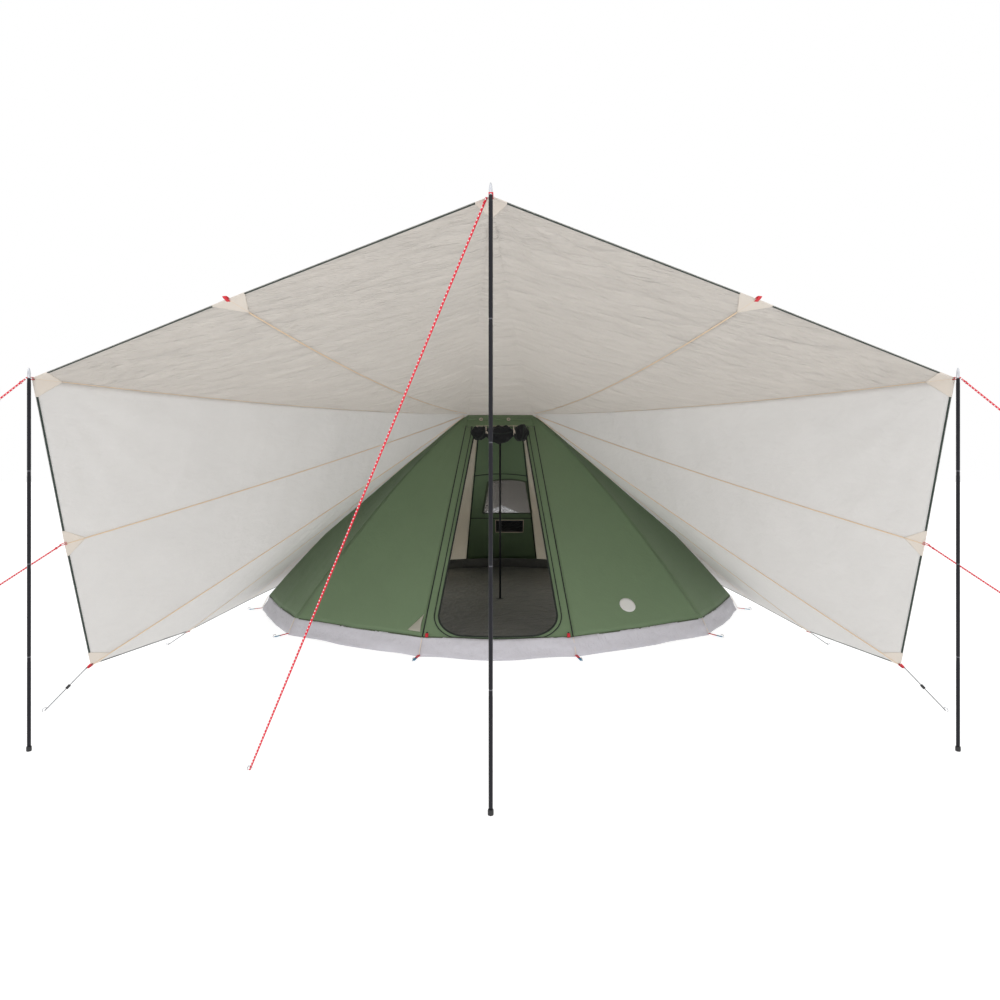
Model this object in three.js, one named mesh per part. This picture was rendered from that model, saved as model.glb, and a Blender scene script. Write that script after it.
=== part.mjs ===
// Teepee tent with a tarp: a twelve-sided inner tent hung from a short ridge bar on one centre pole, under a
// tarp that reaches forward over a porch to a tall front pole and two side poles, held by guy ropes.
// Millimetres, +Z up. The origin is the underside of the groundsheet below the centre pole. The door faces -Y.
import * as THREE from "three";

const V = (x, y, z) => new THREE.Vector3(x, y, z);

// Inner tent
const tentRadius = 2700;
const sideAngles = [14, 47, 76.75, 106.5, 136.25, 168]; // wall corners of one side, in degrees from the front
const skirtHeight = 150;
const skirtLean = 70;
const ridgeHeight = 2197;
const ridgeHalf = 380;
const rearTopHalf = 250;
const wallBulge = 150;
const cloth = 2; // every cloth solid is this thick
const seamGap = 2; // how far each panel stops short of its seam
const slabThick = 3;

// Door and window, as sizes in their own sloping panels
const doorBottomHalf = 530;
const doorTopHalf = 280;
const doorTopHeight = 2050;
const doorCorner = 200;
const windowLow = 930;
const windowHigh = 1370;
const windowLowHalf = 330;
const windowHighHalf = 240;
const windowAside = 85; // the window and its pocket sit a little right of the middle
const rollRadius = 70;
const rollHalf = 330;
const rollHeight = 1925;

// Poles
const poleRadius = 10;
const centrePoleRadius = 12;
const footHeight = 26;
const footRadius = 14;
const tipHeight = 57;
const tipRadius = 11;
const frontPole = V(0, -5368, 2835.5);
const sidePole = V(2600, -4621, 2087.6);
const frontSections = 5;
const sideSections = 4;
const centrePoleJoin = 1090; // height where its two halves meet
const basePlate = { radius: 75, height: 8, collar: 22 };
const pieceGap = 0.4; // between two pieces that touch

// Tarp: the points of its outline on one side, from the front pole round to the middle of the rear edge
const tarpFrontMiddle = frontPole.clone().lerp(sidePole, 0.52);
const tarpCorner = V(2746, -3757, 244.5);
const tarpSideMiddle = sidePole.clone().lerp(tarpCorner, 0.53);
const tarpSecond = V(2800, -2107, 100);
const tarpOutline = [
  [2860, -300, 60],
  [2800, 1500, 60],
  [2100, 3100, 50],
  [0, 3500, 930],
].map((p) => V(...p));
const tarpGap = 16; // over the inner tent
const tarpRise = 16; // of the tarp over the ridge
const poleClear = 16; // from a pole's axis to the tarp's corner
const sags = { apex: 60, frontMiddle: 100, pole: 50, side: 40, rear: 20 }; // of each seam below a straight line

// Guy ropes: how thick each is, and where it ends on one side. The pole and middle ropes end in a knot on
// their way down to the peg, and the others are pegged.
const ropeRadii = { apex: 4, pole: 3.5, middle: 3.5, corner: 2.5, second: 2.5 };
const ropeLift = 8; // height of a pegged end
const apexPeg = V(-1270, -4890, ropeLift);
const poleRopeKnot = V(2768, -4866, 1812);
const middleRopeKnot = V(3068, -4571, 747);
const cornerRopePeg = V(2920, -3976, ropeLift);
const secondRopePeg = V(2923, -2251, ropeLift);
const ropeStart = 20; // from the tarp's corner out to the rope's end
const ropeDrop = 8;
const runner = { length: 30, width: 16, height: 10, along: 0.42 };

const finishes = {
  green: { color: 0x56694d, roughness: 0.85 },
  cream: { color: 0xcfc7ab, roughness: 0.9 },
  violet: { color: 0xb4b2bd, roughness: 0.85 },
  grey: { color: 0x3a3d42, roughness: 0.8 },
  net: { color: 0x17191b, roughness: 0.9 },
  black: { color: 0x1a1d21, roughness: 0.4 },
  pole: { color: 0x24282e, roughness: 0.35, metalness: 0.6 },
  silver: { color: 0xb9bcc0, roughness: 0.3, metalness: 1 },
  red: { color: 0xa52a2a, roughness: 0.8 },
};
const root = new THREE.Group();

function add(name, finish, geometry) {
  const mesh = new THREE.Mesh(geometry, new THREE.MeshStandardMaterial(finishes[finish]));
  mesh.name = name;
  root.add(mesh);
  return mesh;
}

const mirrored = (p, side) => V(side * p.x, p.y, p.z);
const sides = [
  ["left", -1],
  ["right", 1],
];

// A closed solid from an open surface of triangles, thickened inwards.
function thickened(points, triangles, thickness = cloth) {
  const normals = points.map(() => V(0, 0, 0));
  const edges = new Map();
  for (const [a, b, c] of triangles) {
    const n = points[b].clone().sub(points[a]).cross(points[c].clone().sub(points[a]));
    for (const i of [a, b, c]) normals[i].add(n);
    for (const [i, j] of [[a, b], [b, c], [c, a]]) edges.set(i + ":" + j, [i, j]);
  }
  const inner = points.map((p, i) => p.clone().addScaledVector(normals[i].normalize(), -thickness));
  const shift = points.length;
  const index = [];
  for (const [a, b, c] of triangles) index.push(a, b, c, a + shift, c + shift, b + shift);
  for (const [i, j] of edges.values())
    if (!edges.has(j + ":" + i)) index.push(j, i, i + shift, j, i + shift, j + shift);
  const geometry = new THREE.BufferGeometry().setFromPoints([...points, ...inner]);
  geometry.setIndex(index);
  geometry.computeVertexNormals();
  return geometry;
}

// A sheet from columns of points. Equal neighbours are joined, so a column may shrink to a point.
function sheet(columns, thickness = cloth, flip = false) {
  const points = [];
  const ids = columns.map((column) =>
    column.map((p) => {
      const found = points.findIndex((q) => q.distanceTo(p) < 0.01);
      return found >= 0 ? found : points.push(p) - 1;
    }),
  );
  const triangles = [];
  const keep = (a, b, c) => {
    if (a !== b && b !== c && c !== a) triangles.push(flip ? [a, c, b] : [a, b, c]);
  };
  for (let i = 0; i + 1 < ids.length; i++)
    for (let j = 0; j + 1 < ids[i].length; j++) {
      keep(ids[i][j], ids[i][j + 1], ids[i + 1][j + 1]);
      keep(ids[i][j], ids[i + 1][j + 1], ids[i + 1][j]);
    }
  return thickened(points, triangles, thickness);
}

// The first and last column step in from their seams.
function stepIn(columns) {
  const move = (column, next) =>
    column.map((p, j) => p.clone().addScaledVector(next[j].clone().sub(p).normalize(), seamGap));
  const last = columns.length - 1;
  return [
    move(columns[0], columns[1]),
    ...columns.slice(1, last),
    move(columns[last], columns[last - 1]),
  ];
}

// Inner tent: the corners of one side at the ground and at the top of the skirt
const ridgeEnd = V(ridgeHalf, 0, ridgeHeight);
const onRing = (degrees, radius, z) => {
  const a = (degrees * Math.PI) / 180;
  return V(radius * Math.sin(a), -radius * Math.cos(a), z);
};
const feet = sideAngles.map((a) => onRing(a, tentRadius, slabThick + 1));
const shoulders = sideAngles.map((a) => onRing(a, tentRadius - skirtLean, skirtHeight));
const lastCorner = shoulders.length - 1;
const bulges = shoulders.map((_, k) => (k === 0 || k === lastCorner ? 0 : wallBulge));

// A point of wall panel k: u runs from its front seam to its rear seam, s from the ridge down. The last wall
// runs along the ridge as far as the narrower rear panel.
function wallPoint(k, u, s) {
  const low = shoulders[k].clone().lerp(shoulders[k + 1], u);
  const high = ridgeEnd.clone();
  if (k === lastCorner - 1) high.x = THREE.MathUtils.lerp(ridgeHalf, rearTopHalf, u);
  const bulge = THREE.MathUtils.lerp(bulges[k], bulges[k + 1], u) * 4 * s * (1 - s);
  return high.lerp(low, s).add(V(0, 0, bulge));
}

// The inner tent's height over a place. Past its foot the walls run on down.
function tentHeight(x, y) {
  const p = V(Math.abs(x) - ridgeHalf, y, 0);
  for (let k = 0; k < lastCorner; k++) {
    const a = shoulders[k].clone().sub(ridgeEnd);
    const b = shoulders[k + 1].clone().sub(ridgeEnd);
    const det = a.x * b.y - a.y * b.x;
    const i = (p.x * b.y - p.y * b.x) / det;
    const j = (a.x * p.y - a.y * p.x) / det;
    if (i >= -1e-9 && j >= -1e-9 && i + j > 0) return wallPoint(k, j / (i + j), i + j).z;
  }
  const end = shoulders[y < 0 ? 0 : lastCorner];
  return THREE.MathUtils.lerp(ridgeHeight, skirtHeight, y / end.y);
}

function addInnerTent() {
  const ring = [...feet.map((p) => mirrored(p, -1)).reverse(), ...feet];
  const slab = new THREE.Shape(ring.map((p) => new THREE.Vector2(p.x, p.y)));
  add("groundsheet", "grey", new THREE.ExtrudeGeometry(slab, { depth: slabThick, bevelEnabled: false }));

  const upright = (p, q) => [q, p];
  for (const [side, sign] of sides) {
    const columns = feet.map((p, k) => upright(mirrored(p, sign), mirrored(shoulders[k], sign)));
    add("skirt_" + side, "violet", sheet(stepIn(columns), cloth, sign > 0));
  }
  for (const [name, k] of [["front", 0], ["rear", lastCorner]]) {
    const columns = [-1, 1].map((sign) => upright(mirrored(feet[k], sign), mirrored(shoulders[k], sign)));
    add("skirt_" + name, "violet", sheet(stepIn(columns), cloth, name === "front"));
  }

  const rows = 10;
  const wallTop = 0.035;
  for (const [side, sign] of sides)
    for (let k = 0; k < lastCorner; k++) {
      const columns = [0, 1].map((u) =>
        Array.from({ length: rows + 1 }, (_, j) => {
          const s = wallTop + (0.998 - wallTop) * (j / rows);
          return mirrored(wallPoint(k, u, s), sign);
        }),
      );
      const finish = k < 2 ? "green" : "cream";
      add("wall_" + side + "_" + (k + 1), finish, sheet(stepIn(columns), cloth, sign < 0));
    }
}

// A flat sloping panel: x across, v up the slope from its lower edge, and out of the tent along its normal.
function slope(shoulder, facing) {
  const up = V(0, -shoulder.y, ridgeHeight - shoulder.z);
  const length = up.length();
  up.normalize();
  const across = V(-facing, 0, 0);
  const out = across.clone().cross(up);
  const base = new THREE.Matrix4().makeBasis(across, up, out);
  base.setPosition(0, shoulder.y, shoulder.z);
  const rise = up.z;
  return { length, base, out, v: (z) => (z - shoulder.z) / rise };
}

// A flat cloth piece on a slope, given by an outline; outset moves it out of the panel's face.
function flatPiece(panel, shape, outset = 0, thickness = cloth) {
  const settings = { depth: thickness, bevelEnabled: false, curveSegments: 6 };
  const geometry = new THREE.ExtrudeGeometry(shape, settings).translate(0, 0, outset);
  return geometry.applyMatrix4(panel.base);
}

function addFront() {
  const panel = slope(shoulders[0], -1);
  const half = (v) => THREE.MathUtils.lerp(shoulders[0].x, ridgeHalf, v / panel.length) - seamGap;
  const top = panel.v(doorTopHeight);
  const door = (v) => THREE.MathUtils.lerp(doorBottomHalf, doorTopHalf, v / top);
  for (const [side, sign] of sides) {
    const jamb = new THREE.Shape();
    const corner = door(0) - doorCorner;
    jamb.moveTo(sign * half(seamGap), seamGap);
    jamb.lineTo(sign * half(top), top);
    jamb.lineTo(sign * door(top), top);
    jamb.lineTo(sign * door(doorCorner), doorCorner);
    jamb.quadraticCurveTo(sign * door(0), seamGap * 3, sign * corner, seamGap * 3);
    jamb.lineTo(sign * corner, seamGap);
    add("door_jamb_" + side, "green", flatPiece(panel, jamb));
  }
  const header = new THREE.Shape();
  const headerTop = panel.length - 12;
  header.moveTo(-half(top), top + seamGap);
  header.lineTo(half(top), top + seamGap);
  header.lineTo(half(headerTop), headerTop);
  header.lineTo(-half(headerTop), headerTop);
  add("door_header", "green", flatPiece(panel, header));

  const roll = new THREE.CapsuleGeometry(rollRadius, 2 * (rollHalf - rollRadius), 4, 14);
  roll.rotateZ(Math.PI / 2);
  roll.translate(0, panel.v(rollHeight), rollRadius + cloth + 4);
  add("mesh_door_roll", "net", roll.applyMatrix4(panel.base));

  for (const [side, sign] of sides) {
    const slider = new THREE.Shape();
    const x = sign * (half(0) - 34);
    const lean = Math.atan2(half(0) - half(panel.length), panel.length) * sign;
    slider.moveTo(-5, 0);
    slider.lineTo(5, 0);
    slider.lineTo(7, 24);
    slider.lineTo(-7, 24);
    const geometry = new THREE.ExtrudeGeometry(slider, { depth: 6, bevelEnabled: false });
    geometry.rotateZ(lean).translate(x, 22, cloth + 1);
    add("zip_slider_" + side, "red", geometry.applyMatrix4(panel.base));
  }
}

function addRear() {
  const panel = slope(shoulders[lastCorner], 1);
  const half = (v) => THREE.MathUtils.lerp(shoulders[lastCorner].x, rearTopHalf, v / panel.length) - seamGap;
  const outline = new THREE.Shape();
  const top = panel.length - 14;
  outline.moveTo(-half(seamGap), seamGap);
  outline.lineTo(half(seamGap), seamGap);
  outline.lineTo(half(top), top);
  outline.lineTo(-half(top), top);
  const arched = (inset) => {
    const low = panel.v(windowLow) + inset;
    const high = panel.v(windowHigh) - inset;
    const path = new THREE.Shape();
    // Seen along +Y, the rear panel's own x runs to the left
    path.moveTo(-windowAside - windowLowHalf + inset, low);
    path.lineTo(-windowAside + windowLowHalf - inset, low);
    path.lineTo(-windowAside + windowHighHalf - inset, high);
    path.quadraticCurveTo(-windowAside, high + 110, -windowAside - windowHighHalf + inset, high);
    return path;
  };
  outline.holes.push(arched(0));
  add("rear_panel", "green", flatPiece(panel, outline));
  add("window_mesh", "net", flatPiece(panel, arched(seamGap)));

  const pocketLow = panel.v(620);
  const pocket = new THREE.Shape();
  pocket.moveTo(-windowAside - 190, pocketLow);
  pocket.lineTo(-windowAside + 190, pocketLow);
  pocket.lineTo(-windowAside + 190, pocketLow + 230);
  pocket.lineTo(-windowAside - 190, pocketLow + 230);
  add("storage_pocket", "net", flatPiece(panel, pocket, -14, 11));
}

// A round piece from a profile of [radius, height] pairs.
function turned(profile, at, segments = 16) {
  const points = profile.map(([r, z]) => new THREE.Vector2(r, z));
  return new THREE.LatheGeometry(points, segments).rotateX(Math.PI / 2).translate(at.x, at.y, at.z);
}

// A pole made of equal sections, with a narrow neck at each joint.
function sectioned(radius, low, high, sections) {
  const profile = [[0, low], [radius, low]];
  const neck = 1.2;
  for (let k = 1; k < sections; k++) {
    const z = THREE.MathUtils.lerp(low, high, k / sections);
    profile.push([radius, z - 4], [radius - neck, z - 3], [radius - neck, z + 3], [radius, z + 4]);
  }
  profile.push([radius, high], [0, high]);
  return profile;
}

function addPoles() {
  const stands = [
    ["front", frontPole, frontSections],
    ["left", mirrored(sidePole, -1), sideSections],
    ["right", sidePole, sideSections],
  ];
  for (const [name, top, sections] of stands) {
    const at = V(top.x, top.y, 0);
    const cup = 6;
    const bore = poleRadius + pieceGap;
    add(name + "_pole_foot", "black", turned([[0, 0], [footRadius, 0], [footRadius, footHeight],
      [bore, footHeight], [bore, cup], [0, cup]], at));
    add(name + "_pole", "pole", turned(sectioned(poleRadius, cup + pieceGap, top.z, sections), at));
    const tip = top.z + pieceGap;
    add(name + "_pole_tip", "silver", turned([[0, tip], [tipRadius, tip], [tipRadius, tip + 30],
      [tipRadius * 0.6, tip + 48], [0, tip + tipHeight]], at));
  }
  const middle = V(0, 0, 0);
  const low = slabThick + pieceGap;
  const plateTop = low + basePlate.height;
  add("centre_pole_foot", "black", turned([[0, low], [basePlate.radius, low], [basePlate.radius, low + 3],
    [basePlate.collar, plateTop], [0, plateTop]], middle, 20));
  const barHeight = ridgeHeight - 18;
  const fitting = { low: barHeight - 44, high: barHeight - poleRadius - pieceGap, radius: 17 };
  const poleTop = fitting.low - pieceGap;
  const lower = sectioned(centrePoleRadius, plateTop + pieceGap, centrePoleJoin, 1);
  const upper = sectioned(centrePoleRadius, centrePoleJoin + pieceGap, poleTop, 1);
  add("centre_pole_lower", "pole", turned(lower, middle));
  add("centre_pole_upper", "pole", turned(upper, middle));
  add("ridge_fitting", "black", turned([[0, fitting.low], [fitting.radius, fitting.low],
    [fitting.radius, fitting.high], [0, fitting.high]], middle));
  const bar = new THREE.CylinderGeometry(poleRadius, poleRadius, 2 * (ridgeHalf - 24), 16);
  add("ridge_bar", "pole", bar.rotateZ(Math.PI / 2).translate(0, 0, barHeight));
}

// Tarp
const tarpRidge = V(ridgeHalf, 0, ridgeHeight + tarpRise);
const nearPole = (p) => p.clone().add(tarpRidge.clone().sub(p).setZ(0).setLength(poleClear));

// A column of the tarp from near a place on the ridge to a place on its edge, held up off the inner tent.
function tarpColumn(high, edge, sag, inset = 90, rows = 14) {
  const start = inset / high.distanceTo(edge);
  return Array.from({ length: rows + 1 }, (_, j) => {
    const s = start + (1 - start) * (j / rows);
    const p = high.clone().lerp(edge, s);
    const z = Math.max(p.z - sag * 4 * s * (1 - s), tentHeight(p.x, p.y) + tarpGap);
    return p.setZ(z);
  });
}

// Where a wall seam, run on past its foot, crosses the line between two points of the tarp's edge.
function seamCrossing(shoulder, from, to) {
  const seam = shoulder.clone().sub(ridgeEnd);
  const start = from.clone().sub(ridgeEnd);
  const edge = to.clone().sub(from);
  return (start.y * seam.x - start.x * seam.y) / (edge.x * seam.y - edge.y * seam.x);
}

// Columns that fan out from the ridge's end to an edge of the tarp, with one over each wall seam below it.
function fan(from, to, sagFrom, sagTo, count) {
  const even = Array.from({ length: count + 1 }, (_, i) => i / count);
  const seams = shoulders.map((p) => seamCrossing(p, from, to)).filter((t) => t > 0.01 && t < 0.99);
  const spaced = even.filter((t) => t % 1 === 0 || seams.every((seam) => Math.abs(seam - t) > 0.4 / count));
  return [...spaced, ...seams]
    .sort((a, b) => a - b)
    .map((t) => tarpColumn(tarpRidge, from.clone().lerp(to, t), THREE.MathUtils.lerp(sagFrom, sagTo, t)));
}

const joined = (...fans) => fans.reduce((all, columns) => [...all, ...columns.slice(1)]);
const flipX = (columns) => columns.map((column) => column.map((p) => mirrored(p, -1)));

// A central piece runs down to one point of the edge from the whole ridge, with a fan on each side of it.
function centrePiece(half, apex, sag) {
  const spread = 4;
  const centre = Array.from({ length: spread + 1 }, (_, i) => {
    const x = THREE.MathUtils.lerp(-ridgeHalf, ridgeHalf, i / spread);
    return tarpColumn(V(x, 0, ridgeHeight + tarpRise), apex, sag, 6);
  });
  return [...flipX(half).reverse(), ...centre.slice(1, -1), ...half];
}

function addTarp() {
  const apex = nearPole(frontPole);
  const poleCorner = nearPole(sidePole);
  const front = fan(apex, tarpFrontMiddle, sags.apex, sags.frontMiddle, 3);
  add("tarp_front", "cream", sheet(stepIn(centrePiece(front, apex, sags.apex))));
  const [third, fourth, fifth, rearMiddle] = tarpOutline;
  const rearHalf = joined(
    fan(rearMiddle, fifth, sags.rear, sags.rear, 3),
    fan(fifth, fourth, sags.rear, sags.rear, 4),
  );
  add("tarp_rear", "cream", sheet(stepIn(centrePiece(rearHalf, rearMiddle, sags.rear)), cloth, true));
  const pieces = {
    roof: fan(tarpFrontMiddle, poleCorner, sags.frontMiddle, sags.pole, 3),
    wing: joined(
      fan(poleCorner, tarpSideMiddle, sags.pole, sags.side, 2),
      fan(tarpSideMiddle, tarpCorner, sags.side, sags.side, 2),
      fan(tarpCorner, tarpSecond, sags.side, sags.side, 3),
    ),
    side: joined(fan(tarpSecond, third, sags.side, sags.rear, 4), fan(third, fourth, sags.rear, sags.rear, 4)),
  };
  for (const [piece, columns] of Object.entries(pieces)) {
    const inset = stepIn(columns);
    add("tarp_" + piece + "_left", "cream", sheet(flipX(inset), cloth, true));
    add("tarp_" + piece + "_right", "cream", sheet(inset));
  }
}

// Where a rope leaves its loop: a little out from the tarp's corner, clear of the pole.
function ropeEnd(from, to) {
  const out = to.clone().sub(from).setZ(0).setLength(ropeStart);
  return from.clone().add(out).add(V(0, 0, -ropeDrop));
}

// A straight taut rope as an eight-sided bar.
function rope(from, to, radius) {
  const start = ropeEnd(from, to);
  const section = new THREE.Shape(
    Array.from({ length: 8 }, (_, k) => {
      const a = (k * Math.PI) / 4;
      return new THREE.Vector2(radius * Math.cos(a), radius * Math.sin(a));
    }),
  );
  const steps = Math.min(80, Math.max(4, Math.round(start.distanceTo(to) / 250)));
  const path = new THREE.LineCurve3(start, to);
  return new THREE.ExtrudeGeometry(section, { extrudePath: path, steps, bevelEnabled: false });
}

function addRopes() {
  add("apex_rope", "red", rope(frontPole, apexPeg, ropeRadii.apex));
  const pairs = [
    ["pole", sidePole, poleRopeKnot],
    ["middle", tarpSideMiddle, middleRopeKnot],
    ["corner", tarpCorner, cornerRopePeg],
    ["second", tarpSecond, secondRopePeg],
  ];
  for (const [name, from, to] of pairs)
    for (const [side, sign] of sides)
      add(name + "_rope_" + side, "red", rope(mirrored(from, sign), mirrored(to, sign), ropeRadii[name]));

  for (const [side, sign] of sides) {
    const from = mirrored(tarpCorner, sign);
    const to = mirrored(cornerRopePeg, sign);
    const body = new THREE.Shape();
    const w = runner.width / 2;
    const h = runner.height / 2;
    body.moveTo(-w, -h);
    body.lineTo(w, -h);
    body.lineTo(w, h);
    body.lineTo(-w, h);
    const hole = new THREE.Path();
    hole.absarc(0, 0, ropeRadii.corner + 0.8, 0, 2 * Math.PI, true);
    body.holes.push(hole);
    const settings = { depth: runner.length, bevelEnabled: false, curveSegments: 6 };
    const mesh = add("rope_runner_" + side, "black", new THREE.ExtrudeGeometry(body, settings));
    mesh.position.copy(ropeEnd(from, to).lerp(to, runner.along));
    mesh.lookAt(to);
  }
}

addInnerTent();
addFront();
addRear();
addPoles();
addTarp();
addRopes();

export default root;
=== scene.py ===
import math

import bpy
from mathutils import Matrix, Vector, noise


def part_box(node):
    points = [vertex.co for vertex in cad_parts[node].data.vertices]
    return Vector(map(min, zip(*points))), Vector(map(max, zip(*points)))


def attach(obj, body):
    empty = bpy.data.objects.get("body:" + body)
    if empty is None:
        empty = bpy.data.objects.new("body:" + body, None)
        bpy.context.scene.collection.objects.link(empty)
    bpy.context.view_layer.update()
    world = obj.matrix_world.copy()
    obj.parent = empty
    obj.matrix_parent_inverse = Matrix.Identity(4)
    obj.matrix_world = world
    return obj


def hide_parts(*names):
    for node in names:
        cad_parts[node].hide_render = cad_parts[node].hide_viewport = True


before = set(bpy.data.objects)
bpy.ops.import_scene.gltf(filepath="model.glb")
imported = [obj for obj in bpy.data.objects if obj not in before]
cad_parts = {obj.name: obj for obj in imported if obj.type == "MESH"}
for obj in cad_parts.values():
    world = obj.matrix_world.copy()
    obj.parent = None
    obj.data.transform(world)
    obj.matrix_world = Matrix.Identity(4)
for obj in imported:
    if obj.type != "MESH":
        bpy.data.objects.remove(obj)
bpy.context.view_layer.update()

sides = (("left", -1), ("right", 1))
body = "tent"


def between(a, b, t):
    return a + (b - a) * t


def smoothStep(low, high, x):
    t = min(1, max(0, (x - low) / (high - low)))
    return t * t * (3 - 2 * t)


def mirrored(p, side):
    return Vector((side * p.x, p.y, p.z))


# Camera at eye height in front of the porch, level, with a small shift for the framing
eye = {"x": 0.07, "y": -8.707, "height": 1.6007, "lens": 26.28, "shiftX": -0.006, "shiftY": -0.035}
bpy.ops.object.camera_add(location=(eye["x"], eye["y"], eye["height"]), rotation=(math.radians(90), 0, 0))
camera = bpy.context.object
camera.data.lens = eye["lens"]
camera.data.sensor_width = 36
camera.data.shift_x = eye["shiftX"]
camera.data.shift_y = eye["shiftY"]
camera.data.clip_end = 200
bpy.context.scene.camera = camera


# ---- materials ----

def newGroup(name, inputs, outputs):
    tree = bpy.data.node_groups.new(name, "ShaderNodeTree")
    for label, kind, value in inputs:
        socket = tree.interface.new_socket(name=label, in_out="INPUT", socket_type="NodeSocket" + kind)
        if value is not None:
            socket.default_value = value
    for label, kind in outputs:
        tree.interface.new_socket(name=label, in_out="OUTPUT", socket_type="NodeSocket" + kind)
    return tree, tree.nodes.new("NodeGroupInput"), tree.nodes.new("NodeGroupOutput")


def addNode(tree, kind, **values):
    node = tree.nodes.new("ShaderNode" + kind)
    for key, value in values.items():
        if hasattr(node, key):
            setattr(node, key, value)
        else:
            node.inputs[key.replace("_", " ")].default_value = value
    return node


def mathNode(tree, operation, a, b):
    node = tree.nodes.new("ShaderNodeMath")
    node.operation = operation
    for socket, value in zip(node.inputs, (a, b)):
        if isinstance(value, (int, float)):
            socket.default_value = value
        else:
            tree.links.new(value, socket)
    return node.outputs[0]


def newMaterial(name):
    material = bpy.data.materials.new(name)
    material.use_nodes = True
    tree = material.node_tree
    return material, tree, tree.nodes["Principled BSDF"], addNode(tree, "TexCoord")


def weaveGroup():
    tree, given, out = newGroup(
        "clothWeave",
        [("UV", "Vector", None), ("Place", "Vector", None), ("Colour", "Color", (0.5, 0.5, 0.5, 1)),
         ("Thread", "Float", 900.0), ("Crease", "Float", 0.5), ("Stain", "Float", 0.06),
         ("Stretch", "Vector", (1, 1, 1))],
        [("Colour", "Color"), ("Normal", "Vector"), ("Roughness", "Float"), ("Value", "Float")],
    )
    link = tree.links.new
    # Threads both ways, from the piece's own UV in metres
    split = addNode(tree, "SeparateXYZ")
    link(given.outputs["UV"], split.inputs[0])
    waves = []
    for axis in (0, 1):
        scaled = mathNode(tree, "MULTIPLY", split.outputs[axis], given.outputs["Thread"])
        waves.append(mathNode(tree, "SINE", scaled, 0))
    threads = mathNode(tree, "MULTIPLY", waves[0], waves[1])
    # Soft creases, stretched the way the cloth is pulled
    mapped = addNode(tree, "Mapping")
    link(given.outputs["Place"], mapped.inputs["Vector"])
    link(given.outputs["Stretch"], mapped.inputs["Scale"])
    crease = addNode(tree, "TexNoise", Scale=2.4, Detail=5.0, Roughness=0.52, Distortion=0.35)
    link(mapped.outputs[0], crease.inputs["Vector"])
    fine = addNode(tree, "TexNoise", Scale=9.0, Detail=3.0, Roughness=0.5)
    link(mapped.outputs[0], fine.inputs["Vector"])
    mottle = addNode(tree, "TexNoise", Scale=1.3, Detail=4.0, Roughness=0.6)
    link(given.outputs["Place"], mottle.inputs["Vector"])
    wrinkles = mathNode(tree, "MULTIPLY", fine.outputs["Fac"], 0.3)
    height = mathNode(tree, "ADD", crease.outputs["Fac"], wrinkles)
    big = addNode(tree, "Bump", Distance=0.06)
    link(given.outputs["Crease"], big.inputs["Strength"])
    link(height, big.inputs["Height"])
    small = addNode(tree, "Bump", Strength=0.25, Distance=0.0004)
    link(threads, small.inputs["Height"])
    link(big.outputs[0], small.inputs["Normal"])
    # Colour varies a little with the stain noise, and painted shade darkens the valleys between threads
    shade = mathNode(tree, "SUBTRACT", mottle.outputs["Fac"], 0.5)
    shade = mathNode(tree, "MULTIPLY", shade, given.outputs["Stain"])
    value = mathNode(tree, "ADD", shade, 1.0)
    value = mathNode(tree, "ADD", value, mathNode(tree, "MULTIPLY", threads, 0.03))
    # Painted shade: the crease valleys are darker than the ridges, whatever the light
    paintedCreaseShade = mathNode(tree, "MULTIPLY", mathNode(tree, "SUBTRACT", height, 0.65), 0.15)
    value = mathNode(tree, "ADD", value, mathNode(tree, "MULTIPLY", paintedCreaseShade, given.outputs["Crease"]))
    tint = addNode(tree, "HueSaturation")
    link(given.outputs["Colour"], tint.inputs["Color"])
    link(value, tint.inputs["Value"])
    rough = mathNode(tree, "ADD", mathNode(tree, "MULTIPLY", mottle.outputs["Fac"], 0.2), 0.55)
    link(tint.outputs[0], out.inputs["Colour"])
    link(small.outputs[0], out.inputs["Normal"])
    link(rough, out.inputs["Roughness"])
    link(value, out.inputs["Value"])
    return tree


clothWeave = weaveGroup()


def clothMaterial(name, colour, through, thread, crease=0.4, stain=0.08, stretch=(1, 1, 1), glow=None):
    material, tree, shader, where = newMaterial(name)
    link = tree.links.new
    weave = tree.nodes.new("ShaderNodeGroup")
    weave.node_tree = clothWeave
    settings = {"Colour": (*colour, 1), "Thread": thread, "Crease": crease, "Stain": stain,
                "Stretch": stretch}
    for label, value in settings.items():
        weave.inputs[label].default_value = value
    link(where.outputs["UV"], weave.inputs["UV"])
    link(where.outputs["Object"], weave.inputs["Place"])
    link(weave.outputs["Colour"], shader.inputs["Base Color"])
    link(weave.outputs["Normal"], shader.inputs["Normal"])
    link(weave.outputs["Roughness"], shader.inputs["Roughness"])
    shader.inputs["Sheen Weight"].default_value = 0.08
    shader.inputs["Specular IOR Level"].default_value = 0.3
    if through:
        thin = addNode(tree, "BsdfTranslucent")
        mix = addNode(tree, "MixShader", Fac=through)
        # The light let through carries the same stain and the same painted crease shade
        inside = addNode(tree, "HueSaturation")
        inside.inputs["Color"].default_value = (*(glow or colour), 1)
        link(weave.outputs["Value"], inside.inputs["Value"])
        link(inside.outputs[0], thin.inputs["Color"])
        link(weave.outputs["Normal"], thin.inputs["Normal"])
        link(shader.outputs[0], mix.inputs[1])
        link(thin.outputs[0], mix.inputs[2])
        link(mix.outputs[0], tree.nodes["Material Output"].inputs["Surface"])
    return material


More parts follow.
